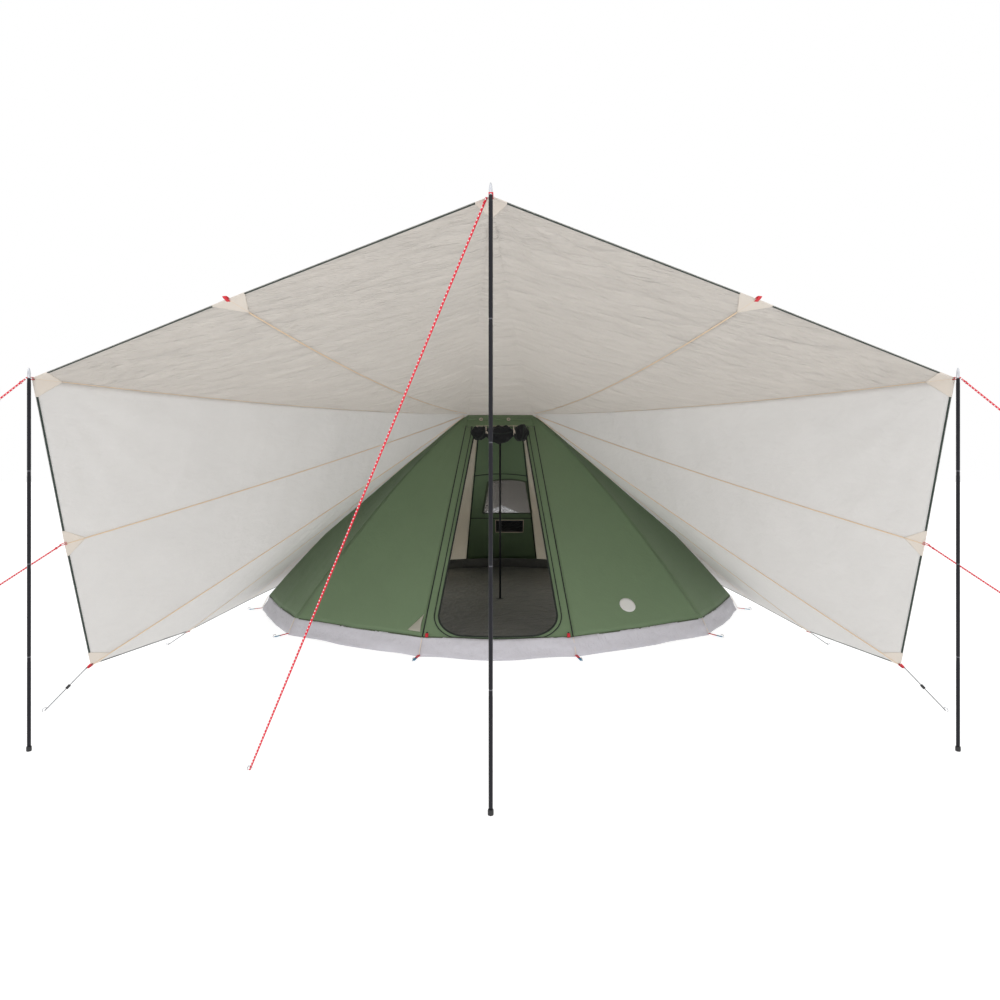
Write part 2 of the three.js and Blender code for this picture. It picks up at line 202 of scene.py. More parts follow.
def netMaterial(name, colour, hole, cover):
    material, tree, shader, where = newMaterial(name)
    link = tree.links.new
    noiseNode = addNode(tree, "TexNoise", Scale=14.0, Detail=3.0)
    link(where.outputs["Object"], noiseNode.inputs["Vector"])
    ramp = addNode(tree, "ValToRGB")
    ramp.color_ramp.elements[0].color = (*colour, 1)
    ramp.color_ramp.elements[1].color = (*(c * 1.9 for c in colour), 1)
    link(noiseNode.outputs["Fac"], ramp.inputs["Fac"])
    link(ramp.outputs[0], shader.inputs["Base Color"])
    split = addNode(tree, "SeparateXYZ")
    link(where.outputs["UV"], split.inputs[0])
    rows = []
    for axis in (0, 1):
        wave = mathNode(tree, "SINE", mathNode(tree, "MULTIPLY", split.outputs[axis], hole), 0)
        rows.append(mathNode(tree, "ABSOLUTE", wave, 0))
    gap = mathNode(tree, "MULTIPLY", rows[0], rows[1])
    shown = mathNode(tree, "GREATER_THAN", cover, gap)
    link(shown, shader.inputs["Alpha"])
    shader.inputs["Roughness"].default_value = 0.8
    return material


def plainMaterial(name, colour, rough, metal=0.0, grain=60.0, bump=0.0005, gloss=0.5):
    material, tree, shader, where = newMaterial(name)
    link = tree.links.new
    speck = addNode(tree, "TexNoise", Scale=grain, Detail=6.0, Roughness=0.6)
    link(where.outputs["Object"], speck.inputs["Vector"])
    long = addNode(tree, "TexNoise", Scale=2.0, Detail=2.0)
    link(where.outputs["Object"], long.inputs["Vector"])
    tint = addNode(tree, "HueSaturation")
    tint.inputs["Color"].default_value = (*colour, 1)
    value = mathNode(tree, "ADD", mathNode(tree, "MULTIPLY", long.outputs["Fac"], 0.12), 0.94)
    link(value, tint.inputs["Value"])
    link(tint.outputs[0], shader.inputs["Base Color"])
    worn = mathNode(tree, "ADD", mathNode(tree, "MULTIPLY", speck.outputs["Fac"], 0.16), rough - 0.08)
    link(worn, shader.inputs["Roughness"])
    shader.inputs["Metallic"].default_value = metal
    shader.inputs["Specular IOR Level"].default_value = gloss
    relief = addNode(tree, "Bump", Strength=0.3, Distance=bump)
    link(speck.outputs["Fac"], relief.inputs["Height"])
    link(relief.outputs[0], shader.inputs["Normal"])
    return material


def ropeMaterial(name, main, fleck, pitch=0.013, share=0.5):
    material, tree, shader, where = newMaterial(name)
    link = tree.links.new
    split = addNode(tree, "SeparateXYZ")
    link(where.outputs["UV"], split.inputs[0])
    # Strands cross both ways round the rope: UV x is the turn, UV y the length in metres
    along = mathNode(tree, "MULTIPLY", split.outputs[1], math.pi / pitch)
    around = mathNode(tree, "MULTIPLY", split.outputs[0], 2 * math.pi)
    one = mathNode(tree, "SINE", mathNode(tree, "ADD", along, around), 0)
    other = mathNode(tree, "SINE", mathNode(tree, "SUBTRACT", along, around), 0)
    cross = mathNode(tree, "MULTIPLY", one, other)
    white = mathNode(tree, "GREATER_THAN", cross, share)
    mix = addNode(tree, "Mix", data_type="RGBA")
    mix.inputs[6].default_value = (*main, 1)
    mix.inputs[7].default_value = (*fleck, 1)
    link(white, mix.inputs[0])
    link(mix.outputs[2], shader.inputs["Base Color"])
    shader.inputs["Roughness"].default_value = 0.75
    strand = mathNode(tree, "SINE", mathNode(tree, "MULTIPLY", along, 3), 0)
    relief = addNode(tree, "Bump", Strength=0.6, Distance=0.0006)
    link(mathNode(tree, "ADD", cross, strand), relief.inputs["Height"])
    link(relief.outputs[0], shader.inputs["Normal"])
    return material


# Cloth: colour, share of light let through, threads, creases (their bump and their painted shade), stain,
# stretch and the colour of that light
materials = {
    # The front, roof and rear use the same tarp cloth as the wings and sides, painted darker as shade; the
    # wing copy is painted lighter
    "tarp": clothMaterial("tarpClothShaded", (0.57, 0.55, 0.53),
                          0.55, 1500, 1.0, 0.04, (1.2, 6.0, 1.2), (0.88, 0.845, 0.80)),
    "tarpWing": clothMaterial("tarpWingClothLit", (0.74, 0.73, 0.725),
                              0.5, 1500, 0.35, 0.04, (1, 1, 1.6), (0.85, 0.84, 0.82)),
    "tarpTape": clothMaterial("tarpTape", (0.86, 0.68, 0.49),
                              0.15, 2400, 0.1, 0.05, (1, 1, 1), (0.95, 0.76, 0.56)),
    "tarpPatch": clothMaterial("tarpPatch", (0.84, 0.77, 0.69),
                               0.2, 1800, 0.1, 0.05, (1, 1, 1), (0.86, 0.80, 0.72)),
    "binding": clothMaterial("edgeBinding", (0.030, 0.046, 0.038), 0.0, 2600, 0.2, 0.3),
    "green": clothMaterial("mossGreenCloth", (0.200, 0.290, 0.165),
                           0.2, 1500, 0.3, 0.08, (1, 1, 1), (0.2, 0.3, 0.15)),
    "cream": clothMaterial("creamCloth", (0.68, 0.66, 0.60),
                           0.6, 1500, 0.35, 0.06, (1, 1, 1), (0.9, 0.87, 0.79)),
    "skirt": clothMaterial("skirtCloth", (0.56, 0.55, 0.595), 0.0, 1100, 0.45, 0.12, (3, 3, 2)),
    "floor": clothMaterial("floorCloth", (0.145, 0.145, 0.135), 0.0, 1100, 1.0, 0.3, (1.6, 1.6, 1.6)),
    "darkGreen": clothMaterial("darkGreenCloth", (0.070, 0.095, 0.055), 0.05, 1500, 0.3, 0.1),
    "zip": clothMaterial("zipTape", (0.014, 0.020, 0.016), 0.0, 2600, 0.1, 0.3),
    "net": netMaterial("insectNet", (0.012, 0.013, 0.014), 900, 0.7),
    "badge": clothMaterial("plainBadge", (0.72, 0.72, 0.70), 0.0, 2600, 0.05, 0.05),
    "rolledNet": clothMaterial("rolledNet", (0.008, 0.009, 0.010), 0.0, 2000, 1.0, 0.5, (4, 4, 4)),
    "webbing": clothMaterial("redWebbing", (0.62, 0.025, 0.04), 0.0, 2600, 0.1, 0.2),
    "blueWebbing": clothMaterial("blueWebbing", (0.03, 0.22, 0.38), 0.0, 2600, 0.1, 0.2),
    "creamCord": clothMaterial("creamCord", (0.72, 0.62, 0.52), 0.0, 2600, 0.2, 0.2),
    "pole": plainMaterial("blackPoleCoat", (0.010, 0.010, 0.014), 0.4, 0.0, 90, 0.0003, 0.2),
    "ferrule": plainMaterial("poleJoint", (0.14, 0.14, 0.16), 0.35, 0.8),
    "tip": plainMaterial("brightTip", (0.50, 0.51, 0.54), 0.3, 0.9, 40, 0.0002),
    "plastic": plainMaterial("blackPlastic", (0.014, 0.014, 0.016), 0.5),
    "checkRope": ropeMaterial("checkedRope", (0.66, 0.012, 0.035), (0.80, 0.74, 0.74), 0.020, 0.66),
    "redRope": ropeMaterial("redRope", (0.62, 0.012, 0.03), (0.80, 0.74, 0.74), 0.014, 0.75),
    "greyRope": ropeMaterial("greyRope", (0.16, 0.17, 0.18), (0.5, 0.5, 0.5), 0.010, 0.6),
}
print("materials ready:", len(materials))


# ---- making and finishing pieces ----

def choose(piece):
    bpy.ops.object.select_all(action="DESELECT")
    piece.select_set(True)
    bpy.context.view_layer.objects.active = piece


def editMesh(piece, *steps):
    choose(piece)
    bpy.ops.object.mode_set(mode="EDIT")
    bpy.ops.mesh.select_all(action="SELECT")
    for step in steps:
        step()
    bpy.ops.mesh.normals_make_consistent(inside=False)
    bpy.ops.object.mode_set(mode="OBJECT")


def newPiece(name, points, faces, corners):
    mesh = bpy.data.meshes.new(name)
    mesh.from_pydata(points, [], faces)
    layer = mesh.uv_layers.new(name="UVMap")
    for spot, uv in zip(layer.data, corners):
        spot.uv = uv
    piece = bpy.data.objects.new(name, mesh)
    bpy.context.collection.objects.link(piece)
    return piece


def grid(across, down, point):
    return [[point(i / across, j / down) for j in range(down + 1)] for i in range(across + 1)]


def pieceName(node):
    return "".join(w.capitalize() if i else w for i, w in enumerate(node.split("_")))


def finishPiece(piece, material, slot, *nodes, rides=body):
    piece.data.materials.clear()
    piece.data.materials.append(materials[material])
    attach(piece, rides)
    if nodes:
        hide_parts(*nodes)
    return piece


def clothPiece(name, columns, thick=0.001, closed=False):
    rows = len(columns[0])
    points = [p for column in columns for p in column]
    span = len(columns) if closed else len(columns) - 1
    faces, corners = [], []
    across = [0.0]
    for i in range(span):
        a, b = columns[i], columns[(i + 1) % len(columns)]
        across.append(across[-1] + max((p - q).length for p, q in zip(a, b)))
    along = [0.0]
    for j in range(rows - 1):
        along.append(along[-1] + (columns[0][j + 1] - columns[0][j]).length)
    for i in range(span):
        k = (i + 1) % len(columns)
        for j in range(rows - 1):
            faces.append((i * rows + j, i * rows + j + 1, k * rows + j + 1, k * rows + j))
            corners += [(across[i], along[j]), (across[i], along[j + 1]),
                        (across[i + 1], along[j + 1]), (across[i + 1], along[j])]
    piece = newPiece(name, points, faces, corners)
    editMesh(piece, lambda: bpy.ops.mesh.remove_doubles(threshold=0.00002))
    if thick:
        modifier = piece.modifiers.new("solidify", "SOLIDIFY")
        modifier.thickness = thick
        modifier.offset = 0
        bpy.ops.object.modifier_apply(modifier=modifier.name)
    bpy.ops.object.shade_smooth()
    return piece


def ribbon(name, line, normals, width, thick=0.002, shift=0.0):
    columns = []
    for i, p in enumerate(line):
        ahead = line[min(i + 1, len(line) - 1)] - line[max(i - 1, 0)]
        side = ahead.cross(normals[i]).normalized() * width / 2
        lift = normals[i] * shift
        columns.append([p - side + lift, p + lift, p + side + lift])
    return clothPiece(name, columns, thick)


def tube(name, line, radius, segments=8):
    rings, length = [], 0.0
    for i, p in enumerate(line):
        ahead = (line[min(i + 1, len(line) - 1)] - line[max(i - 1, 0)]).normalized()
        flat = ahead.cross(Vector((0, 0, 1)))
        flat = (flat if flat.length > 0.05 else ahead.cross(Vector((0, 1, 0)))).normalized()
        up = flat.cross(ahead)
        r = radius(i / (len(line) - 1)) if callable(radius) else radius
        rings.append([p + (flat * math.cos(a) + up * math.sin(a)) * r
                      for a in (2 * math.pi * k / segments for k in range(segments))])
    points = [p for ring in rings for p in ring]
    faces, corners = [], []
    for i in range(len(rings) - 1):
        step = (line[i + 1] - line[i]).length
        for k in range(segments):
            m = (k + 1) % segments
            a, b = i * segments, (i + 1) * segments
            faces.append((a + k, a + m, b + m, b + k))
            corners += [(k / segments, length), ((k + 1) / segments, length),
                        ((k + 1) / segments, length + step), (k / segments, length + step)]
        length += step
    last = len(rings) - 1
    faces.append(tuple(reversed(range(segments))))
    faces.append(tuple(last * segments + k for k in range(segments)))
    corners += [(0, 0)] * segments + [(0, length)] * segments
    piece = newPiece(name, points, faces, corners)
    editMesh(piece)
    bpy.ops.object.shade_smooth()
    return piece


def placed(piece, place):
    choose(piece)
    piece.matrix_world = place @ piece.matrix_world
    bpy.context.view_layer.update()
    bpy.ops.object.transform_apply(location=True, rotation=True, scale=True)
    return piece


def torus(name, radius, thick, segments, around, place):
    bpy.ops.mesh.primitive_torus_add(major_radius=radius, minor_radius=thick, major_segments=segments,
                                     minor_segments=around)
    piece = bpy.context.object
    piece.name = name
    bpy.ops.object.shade_smooth()
    return placed(piece, place)


def paintBlack(node):
    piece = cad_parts[node]
    piece.data.materials.clear()
    piece.data.materials.append(materials["plastic"])


# ---- the tent's shape ----

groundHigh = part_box("groundsheet")[1]
barLow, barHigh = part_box("ridge_bar")
tent = {
    "angles": [14, 47, 76.75, 106.5, 136.25, 168],  # wall corners of one side, from the front
    "skirtHigh": 0.15,
    "skirtLean": 0.07,
    "bulge": 0.15,
    "rearTopHalf": 0.25,
    "bowLow": 0.125,  # how far the lower edges bulge out between two corners
    "bowHigh": 0.09,
    "bowAside": 0.25,  # share of that bow between the other corners
    "frontSpan": 29,  # degrees: only the front and rear panels are narrower than this
}
tentRadius = groundHigh.x / math.sin(math.radians(tent["angles"][2]))
ridgeEnd = Vector((barHigh.x + 0.024, 0, (barLow.z + barHigh.z) / 2 + 0.018))


def onRing(degrees, radius, z):
    a = math.radians(degrees)
    return Vector((radius * math.sin(a), -radius * math.cos(a), z))


shoulders = [onRing(a, tentRadius - tent["skirtLean"], tent["skirtHigh"]) for a in tent["angles"]]
lastCorner = len(shoulders) - 1
bulges = [0.0] + [tent["bulge"]] * (lastCorner - 1) + [0.0]


def wallPoint(k, u, s):
    low = shoulders[k].lerp(shoulders[k + 1], u)
    high = ridgeEnd.copy()
    if k == lastCorner - 1:
        high.x = between(ridgeEnd.x, tent["rearTopHalf"], u)
    p = high.lerp(low, s)
    p.z += between(bulges[k], bulges[k + 1], u) * 4 * s * (1 - s)
    return p


def tentHeight(x, y):
    px = abs(x) - ridgeEnd.x
    for k in range(lastCorner):
        a, b = shoulders[k] - ridgeEnd, shoulders[k + 1] - ridgeEnd
        det = a.x * b.y - a.y * b.x
        i = (px * b.y - y * b.x) / det
        j = (a.x * y - a.y * px) / det
        if i >= -1e-9 and j >= -1e-9 and i + j > 0:
            return wallPoint(k, j / (i + j), i + j).z
    end = shoulders[0 if y < 0 else lastCorner]
    return between(ridgeEnd.z, tent["skirtHigh"], y / end.y)


folds = {"across": 26, "down": 60, "slack": 0.022, "ripple": 0.004}


def wallSurface(k, u, s, sign, lift=0.0):
    p = wallPoint(k, u, s)
    held = math.sin(math.pi * u) ** 0.7
    down = 4 * s * (1 - s)
    inward = Vector((ridgeEnd.x - p.x, -p.y, 0)).normalized()
    ease = folds["slack"] * held * down
    # Folds run down from the ridge end, and a few cross them near the skirt
    along = noise.noise(Vector((u * 7 + k * 3.1, s * 1.1, 4.2 + sign)))
    cross = noise.noise(Vector((u * 3 + k, s * 9, 1.7 * sign)))
    ripple = folds["ripple"] * held * (along * 1.6 + cross * smoothStep(0.55, 1, s))
    bow = tent["bowAside"] * tent["bowHigh"] * math.sin(math.pi * u) ** 2 * smoothStep(0.8, 1, s) ** 2
    p += inward * (ease + ripple * min(1, s * 5) - bow - lift) + Vector((0, 0, lift - ease * 0.6))
    return mirrored(p, sign)


def makeWalls():
    for side, sign in sides:
        for k in range(lastCorner):
            columns = grid(folds["across"], folds["down"], lambda u, s: wallSurface(k, u, s, sign))
            piece = clothPiece("wall" + side.capitalize() + str(k + 1), columns)
            colour = ("green", "tent_green") if k < 2 else ("cream", "tent_cream")
            finishPiece(piece, *colour, f"wall_{side}_{k + 1}")
    print("walls sewn")


def makeWallSeams():
    for side, sign in sides:
        for k in range(1, lastCorner):
            line, normals = [], []
            for j in range(41):
                s = 0.02 + 0.98 * j / 40
                p = wallPoint(k, 0, s)
                out = Vector((p.x - ridgeEnd.x, p.y, 0)).normalized() + Vector((0, 0, 0.8))
                line.append(mirrored(p, sign))
                normals.append(mirrored(out.normalized(), sign))
            colour = "green" if k < 3 else "cream"
            piece = ribbon(f"wallSeam{side.capitalize()}{k}", line, normals, 0.010, 0.002, 0.001)
            finishPiece(piece, colour, "tent_green" if k < 3 else "tent_cream")


# ---- sloping flat panels at the front and rear ----

class Slope:

    def __init__(self, shoulder, topHalf):
        self.low = shoulder
        self.topHalf = topHalf
        up = Vector((0, -shoulder.y, ridgeEnd.z - shoulder.z))
        self.length = up.length
        self.up = up.normalized()
        self.out = Vector((0, math.copysign(self.up.z, shoulder.y), abs(self.up.y)))

    def at(self, x, v, lift=0.0):
        across = min(1, abs(x) / self.low.x)
        bow = tent["bowHigh"] * math.cos(math.pi / 2 * across) ** 2 * smoothStep(0.55, 0, v) ** 2
        flat = Vector((x, self.low.y, self.low.z)) + self.up * v + self.out * lift
        return flat + Vector((0, math.copysign(bow, self.low.y), 0))

    def v(self, z):
        return (z - self.low.z) / self.up.z

    def half(self, v):
        return between(self.low.x, self.topHalf, v / self.length)


frontSlope = Slope(shoulders[0], ridgeEnd.x)
rearSlope = Slope(shoulders[lastCorner], tent["rearTopHalf"])
door = {"low": 0.53, "top": 0.28, "high": 2.05, "corner": 0.24, "sill": 0.03}
window = {"low": 0.93, "high": 1.37, "lowHalf": 0.33, "highHalf": 0.24, "arch": 0.055, "aside": 0.085}


def doorHalf(v):
    return between(door["low"], door["top"], v / frontSlope.v(door["high"]))


def doorEdge(t, grow=0.0):
    top = frontSlope.v(door["high"])
    r = door["corner"]
    flat = doorHalf(0) - r
    if t < 0.16:
        return flat * t / 0.16, door["sill"] - grow
    if t < 0.32:
        a = (t - 0.16) / 0.16 * math.pi / 2
        x = flat + (r + grow) * math.sin(a)
        v = door["sill"] + r - (r + grow) * math.cos(a)
        return x * between(1, doorHalf(v) / doorHalf(0), (t - 0.16) / 0.16), v
    v = between(door["sill"] + r, top, (t - 0.32) / 0.68)
    return doorHalf(v) + grow, v


def panelEdge(t):
    half = frontSlope.half(0)
    top = frontSlope.v(door["high"])
    if t < 0.24:
        return half * t / 0.24, 0.0
    v = top * (t - 0.24) / 0.76
    return frontSlope.half(v), v


def makeDoorPanel():
    top = frontSlope.v(door["high"])
    for side, sign in sides:
        def jambPoint(t, w):
            (ix, iv), (ox, ov) = doorEdge(t), panelEdge(t)
            x, v = between(ix, ox, w), between(iv, ov, w)
            wave = noise.noise(Vector((x * 5, v * 2.3, 3 * sign))) * 0.006 * math.sin(math.pi * w)
            return frontSlope.at(sign * x, v, wave - 0.004 * math.sin(math.pi * w))

        jamb = clothPiece("doorJamb" + side.capitalize(), grid(120, 12, jambPoint))
        finishPiece(jamb, "green", "tent_green", "door_jamb_" + side)
        # Piping over the outer seam, and the zip that follows the opening
        seam = [frontSlope.at(sign * frontSlope.half(v), v, 0.002)
                for v in (frontSlope.length * 0.93 * i / 60 for i in range(61))]
        finishPiece(tube("doorPiping" + side.capitalize(), seam, 0.005), "zip", "mesh")
        for label, grow, width in (("zipInner", 0.004, 0.016), ("zipOuter", 0.042, 0.008)):
            line = []
            for i in range(121):
                x, v = doorEdge(i / 120, grow)
                line.append(frontSlope.at(sign * x, max(v, 0.006), 0.002))
            piece = ribbon(label + side.capitalize(), line, [frontSlope.out] * len(line), width, 0.003)
            finishPiece(piece, "zip", "mesh")

    def headerPoint(t, up):
        w, v = 2 * t - 1, between(top, frontSlope.length, up)
        wave = noise.noise(Vector((w * 4, v * 3, 8))) * 0.003
        return frontSlope.at(w * frontSlope.half(v), v, wave * (1 - abs(w)))

    header = clothPiece("doorHeader", grid(40, 10, headerPoint))
    finishPiece(header, "green", "tent_green", "door_header")
    # A folded band across the header, with two ring ties, and a pale line where the opening begins
    band = [frontSlope.at(x * frontSlope.half(top + 0.14) / 20, top + 0.145, 0.003) for x in range(-20, 21)]
    finishPiece(ribbon("headerBand", band, [frontSlope.out] * 41, 0.05, 0.004), "green", "tent_green")
    edge = [frontSlope.at(x * door["top"] / 20, top + 0.004, 0.004) for x in range(-20, 21)]
    finishPiece(tube("headerCord", edge, 0.004), "creamCord", "webbing")
    for i, x in enumerate((-0.225, 0.10)):
        place = Matrix.Translation(frontSlope.at(x, top + 0.13, 0.012))
        place = place @ Matrix.Rotation(math.radians(50), 4, "X")
        finishPiece(torus(f"headerRing{i + 1}", 0.017, 0.006, 24, 8, place), "creamCord", "webbing")
    print("door panel sewn")


def makeDoorRoll():
    roll = {"half": 0.335, "ties": (-0.157, 0.157), "z": 1.925, "out": 0.07}
    # Where each bunch of net sits along the roll, half its width and how thick it is
    lumps = [(-0.245, 0.12, 0.056), (0.0, 0.165, 0.058), (0.25, 0.10, 0.066)]
    height = frontSlope.v(roll["z"])
    columns = []
    around, along = 28, 96
    for i in range(along + 1):
        x = between(-roll["half"], roll["half"], i / along)
        top = frontSlope.at(x, height, roll["out"])
        thick, hang = 0.016, 0.0
        for middle, half, size in lumps:
            d = abs(x - middle) / half
            if d < 1:
                bell = math.sqrt(1 - d * d)
                thick = max(thick, size * bell)
                hang = max(hang, size * bell * (1.1 if middle == 0 else 0.5))
        thick *= between(0.2, 1, smoothStep(0, 0.06, roll["half"] - abs(x)))
        ring = []
        for k in range(around):
            a = 2 * math.pi * k / around
            crumple = noise.noise(Vector((x * 13, math.cos(a) * 1.6, math.sin(a) * 1.6))) * 0.5
            crumple += noise.noise(Vector((x * 34, math.cos(a) * 3, math.sin(a) * 3 + 5))) * 0.22
            r = thick * (1 + crumple * 0.8)
            sag = hang * min(0, math.sin(a))
            ring.append(top + Vector((0, -math.cos(a) * r * 0.8, math.sin(a) * r * 1.15 + sag)))
        columns.append(ring + [ring[0]])
    piece = clothPiece("meshDoorRoll", columns, thick=0)
    editMesh(piece, lambda: bpy.ops.mesh.fill_holes(sides=0))
    finishPiece(piece, "rolledNet", "mesh", "mesh_door_roll")
    # Edges of the rolled net: the lip of its middle belly, and a loop that hangs from each end
    lips = [("rollLip", 0.0, 0.15, -0.045, 0.0, math.pi), ("rollLoopLeft", -0.25, 0.075, -0.10, -0.4, 3.6),
            ("rollLoopRight", 0.225, 0.045, -0.125, -0.3, 3.5)]
    for label, middle, half, drop, start, stop in lips:
        line = []
        for i in range(31):
            a = between(start, stop, i / 30)
            centre = frontSlope.at(middle - half * math.cos(a), height, roll["out"])
            line.append(centre + Vector((0, -0.062, 0.02 + drop * math.sin(a))))
        finishPiece(tube(label, line, 0.006, 8), "zip", "mesh")
    # Loops that hold the roll up, each with its toggle
    for i, x in enumerate(roll["ties"]):
        centre = frontSlope.at(x, height, roll["out"])
        loop = [centre + Vector((0, -0.04 * math.cos(a), 0.055 * math.sin(a) + 0.015))
                for a in (2 * math.pi * k / 24 for k in range(25))]
        finishPiece(tube(f"rollTie{i + 1}", loop, 0.004, 6), "creamCord", "webbing")
        stick = [centre + Vector((0.006 * k, -0.046, 0.03 - 0.018 * k)) for k in range(4)]
        toggle = tube(f"rollToggle{i + 1}", stick, lambda t: 0.008 - 0.006 * abs(t - 0.5), 10)
        finishPiece(toggle, "creamCord", "webbing")
    print("mesh door rolled")


def windowEdge(t, grow=0.0):
    low, high = rearSlope.v(window["low"]) - grow, rearSlope.v(window["high"]) + grow
    lowHalf, highHalf = window["lowHalf"] + grow, window["highHalf"] + grow
    q = (t % 1) * 4
    if q < 1:
        x, v = between(-lowHalf, lowHalf, q), low
    elif q < 2:
        x, v = between(lowHalf, highHalf, q - 1), between(low, high, q - 1)
    elif q < 3:
        w = between(1, -1, q - 2)
        x, v = highHalf * w, high + window["arch"] * (1 - w * w)
    else:
        x, v = between(-highHalf, -lowHalf, q - 3), between(high, low, q - 3)
    return x + window["aside"], v


def rearEdge(t):
    q = (t % 1) * 4
    half = rearSlope.half
    if q < 1:
        return between(-half(0), half(0), q), 0.0
    if q < 2:
        v = between(0, rearSlope.length, q - 1)
        return half(v), v
    if q < 3:
        return between(1, -1, q - 2) * half(rearSlope.length), rearSlope.length
    v = between(rearSlope.length, 0, q - 3)
    return -half(v), v


def makeRearPanel():
    def panelPoint(t, out):
        w = out ** 1.2
        (ix, iv), (ox, ov) = windowEdge(t), rearEdge(t)
        x, v = between(ix, ox, w), between(iv, ov, w)
        wave = noise.noise(Vector((x * 4, v * 2.2, 21))) * 0.008 * math.sin(math.pi * w)
        return rearSlope.at(x, v, wave)

    def netPoint(t, up):
        w = 2 * t - 1
        top = rearSlope.v(window["high"]) + window["arch"] * (1 - w * w)
        half = between(window["lowHalf"], window["highHalf"], up)
        return rearSlope.at(w * half + window["aside"], between(rearSlope.v(window["low"]), top, up), -0.003)

    panel = clothPiece("rearPanel", grid(160, 18, panelPoint)[:-1], closed=True)
    finishPiece(panel, "green", "tent_green", "rear_panel")
    net = clothPiece("windowNet", grid(24, 16, netPoint), thick=0)
    finishPiece(net, "net", "mesh", "window_mesh")
    outline = [windowEdge(i / 96, 0.012) for i in range(97)]
    line = [rearSlope.at(x, v, -0.004) for x, v in outline]
    finishPiece(ribbon("windowBinding", line, [rearSlope.out] * 97, 0.03, 0.003), "darkGreen", "tent_green")
    # Seams across the panel over and under the window
    for label, z, arch in (("Over", 1.455, 0.05), ("Under", 0.845, 0.0)):
        v = rearSlope.v(z)
        line = [rearSlope.at(w / 20 * rearSlope.half(v), v + arch * (1 - (w / 20) ** 2), -0.004)
                for w in range(-20, 21)]
        finishPiece(ribbon("windowSeam" + label, line, [rearSlope.out] * 41, 0.014, 0.003), "zip", "mesh")
    for side, sign in sides:
        heights = [rearSlope.length * 0.97 * i / 40 for i in range(41)]
        line = [rearSlope.at(sign * (rearSlope.half(v) - 0.012), v, -0.004) for v in heights]
        piece = ribbon("rearSeam" + side.capitalize(), line, [rearSlope.out] * 41, 0.014, 0.003)
        finishPiece(piece, "zip", "mesh")
    # Net pocket with a pale binding
    pocket = {"half": 0.20, "low": 0.625, "high": 0.82, "centre": 0.12}
    low, high = rearSlope.v(pocket["low"]), rearSlope.v(pocket["high"])

    def pocketPoint(t, up):
        w = 2 * t - 1
        belly = 0.014 * (1 - w * w) * (1 - (2 * up - 1) ** 2)
        return rearSlope.at(pocket["centre"] + w * pocket["half"], between(low, high, up), -0.006 - belly)

    finishPiece(clothPiece("rearPocket", grid(20, 10, pocketPoint)), "rolledNet", "mesh", "storage_pocket")
    corners = [(-1, 1), (-1, 0), (1, 0), (1, 1), (-1, 1)]
    line = []
    for (ax, av), (bx, bv) in zip(corners, corners[1:]):
        for i in range(12):
            x = between(ax, bx, i / 12) * pocket["half"] + pocket["centre"]
            line.append(rearSlope.at(x, between(low, high, between(av, bv, i / 12)), -0.01))
    finishPiece(tube("pocketBinding", line + [line[0]], 0.005, 6), "creamCord", "webbing")
    print("rear panel sewn")


def ringLine(degrees):
    corners = [-a for a in reversed(tent["angles"])] + tent["angles"]
    corners = [corners[-1] - 360] + corners + [corners[0] + 360]
    for a, b in zip(corners, corners[1:]):
        if a <= degrees <= b:
            return a, b, (degrees - a) / (b - a)
    return corners[0], corners[1], 0.0


def skirtPoint(degrees, height, inset=0.0):
    a, b, t = ringLine(degrees)
    low = onRing(a, tentRadius - inset, 0.0).lerp(onRing(b, tentRadius - inset, 0.0), t)
    radius = tentRadius - tent["skirtLean"] - inset
    high = onRing(a, radius, tent["skirtHigh"]).lerp(onRing(b, radius, tent["skirtHigh"]), t)
    out = Vector((low.x, low.y, 0)).normalized()
    slack = math.sin(math.pi * t)
    share = 1 if b - a < tent["frontSpan"] else tent["bowAside"]
    bow = between(tent["bowLow"], tent["bowHigh"], height) * share
    return low.lerp(high, height) + out * bow * slack ** 2, slack


def makeSkirt():
    for label, colour, inset, nodes in (
        ("skirt", "skirt", 0.0, ["skirt_" + n for n in ("front", "rear", "left", "right")]),
        ("floorWall", "floor", 0.016, []),
    ):
        def ringPoint(turn, w):
            degrees = 360 * turn - 180
            p, slack = skirtPoint(degrees, w, inset)
            out = Vector((p.x, p.y, 0)).normalized()
            wave = noise.noise(Vector((degrees * 0.13, w * 1.5, 0.6)))
            fine = noise.noise(Vector((degrees * 0.5, w * 2.5, 7)))
            p += out * (wave * 0.020 + fine * 0.009) * math.sin(math.pi * min(1, w * 0.9 + 0.1))
            lift = max(0, noise.noise(Vector((degrees * 0.09, 3.3, 0)))) * 0.03 * slack
            p.z += lift * (1 - w) + 0.001
            return p

        piece = clothPiece(label, grid(360, 8, ringPoint)[:-1], closed=True)
        finishPiece(piece, colour, "skirt" if nodes else "floor_sheet", *nodes)
    # Binding where the skirt meets the walls
    line = [skirtPoint(-180 + i * 2, 1.0)[0] for i in range(181)]
    normals = [Vector((p.x, p.y, 1.2)).normalized() for p in line]
    finishPiece(ribbon("skirtSeam", line, normals, 0.012), "darkGreen", "tent_green")
    print("skirt sewn")


def makeFloor():
    def floorPoint(turn, w):
        p = skirtPoint(360 * turn - 180, 0.0, 0.012)[0] * (1 - w)
        rumple = noise.noise(p * 1.3) * 0.011 + noise.noise(p * 3.7 + Vector((0, 0, 4))) * 0.006
        fold = abs(noise.noise(Vector((p.x * 1.1, p.y * 0.9, 9)))) * -0.016
        p.z = 0.008 + max(-0.006, rumple + fold) * smoothStep(0, 0.05, w) * smoothStep(1, 0.93, w)
        return p

    piece = clothPiece("floorSheet", grid(180, 45, floorPoint)[:-1], closed=True)
    finishPiece(piece, "floor", "floor_sheet", "groundsheet")
    print("floor laid")


# ---- tarp ----

